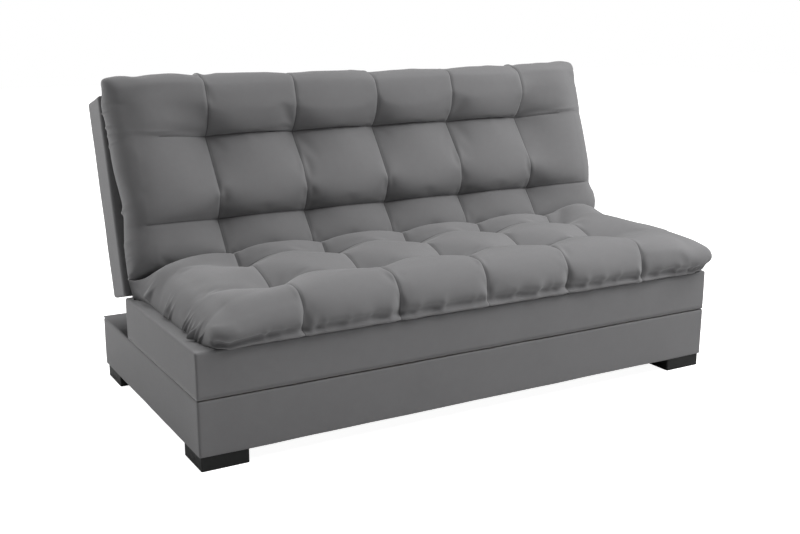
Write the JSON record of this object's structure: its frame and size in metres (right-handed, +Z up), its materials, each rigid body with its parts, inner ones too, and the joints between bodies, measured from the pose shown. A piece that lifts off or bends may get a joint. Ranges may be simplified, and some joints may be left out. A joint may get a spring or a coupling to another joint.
{
  "type": "sofa bed",
  "caption": "Armless upholstered sofa bed with tufted seat and back pads, a back that folds flat, and a storage trunk under the lifting seat.",
  "frame": {"origin": "on the floor, in the middle of the width and of the depth from the seat pad's front to the back's rear edge", "axes": "+X along the width, to the right as seen from the front; +Y to the rear; +Z up"},
  "size_m": [1.8073, 0.9775, 1.0011],
  "materials": {
    "upholstery": "matt grey suede-like woven upholstery fabric",
    "foot_black": "near-black moulded plastic, satin",
    "frame_wood": "sawn softwood, unfinished",
    "panel_wood": "thin board, unfinished",
    "webbing": "woven elastic webbing",
    "hinge_steel": "zinc-plated pressed steel"
  },
  "bodies": {
    "base": {"base_back_board": "frame_wood", "base_bottom_panel": "panel_wood", "base_corner_blocks": "frame_wood", "base_cover": "upholstery", "base_front_board": "frame_wood", "base_left_board": "frame_wood", "base_partition": "frame_wood", "base_right_board": "frame_wood", "foot_bolts": "hinge_steel", "front_left_foot": "foot_black", "front_right_foot": "foot_black", "lid_hinge_lower_leaves": "hinge_steel", "lid_hinge_pins": "hinge_steel", "rear_left_foot": "foot_black", "rear_right_foot": "foot_black"},
    "seat": {"deck_panel": "panel_wood", "ledge_cover": "upholstery", "left_ratchet_housing": "hinge_steel", "left_seat_arm": "hinge_steel", "lid_hinge_upper_leaves": "hinge_steel", "right_ratchet_housing": "hinge_steel", "right_seat_arm": "hinge_steel", "seat_arm_bolts": "hinge_steel", "seat_cover": "upholstery", "seat_cross_rails": "frame_wood", "seat_cross_straps": "webbing", "seat_front_rail": "frame_wood", "seat_left_rail": "frame_wood", "seat_long_straps": "webbing", "seat_pad": "upholstery", "seat_rear_rail": "frame_wood", "seat_right_rail": "frame_wood"},
    "back": {"back_arm_bolts": "hinge_steel", "back_bottom_rail": "frame_wood", "back_cover": "upholstery", "back_left_stile": "frame_wood", "back_mid_stiles": "frame_wood", "back_pad": "upholstery", "back_rear_panel": "panel_wood", "back_right_stile": "frame_wood", "back_straps": "webbing", "back_top_rail": "frame_wood", "left_back_arm": "hinge_steel", "left_pivot_shaft": "hinge_steel", "right_back_arm": "hinge_steel", "right_pivot_shaft": "hinge_steel"}
  },
  "joints": [
    {"name": "lid_lift", "type": "hinge", "parent": "base", "child": "seat", "pos_m": [0, 0.47576, 0.1859], "axis": [-1, 0, 0], "range_deg": [0, 30]},
    {"name": "back_recline", "type": "hinge", "parent": "seat", "child": "back", "pos_m": [0, 0.19726, 0.337], "axis": [-1, 0, 0], "range_deg": [0, 74.6]}
  ]
}
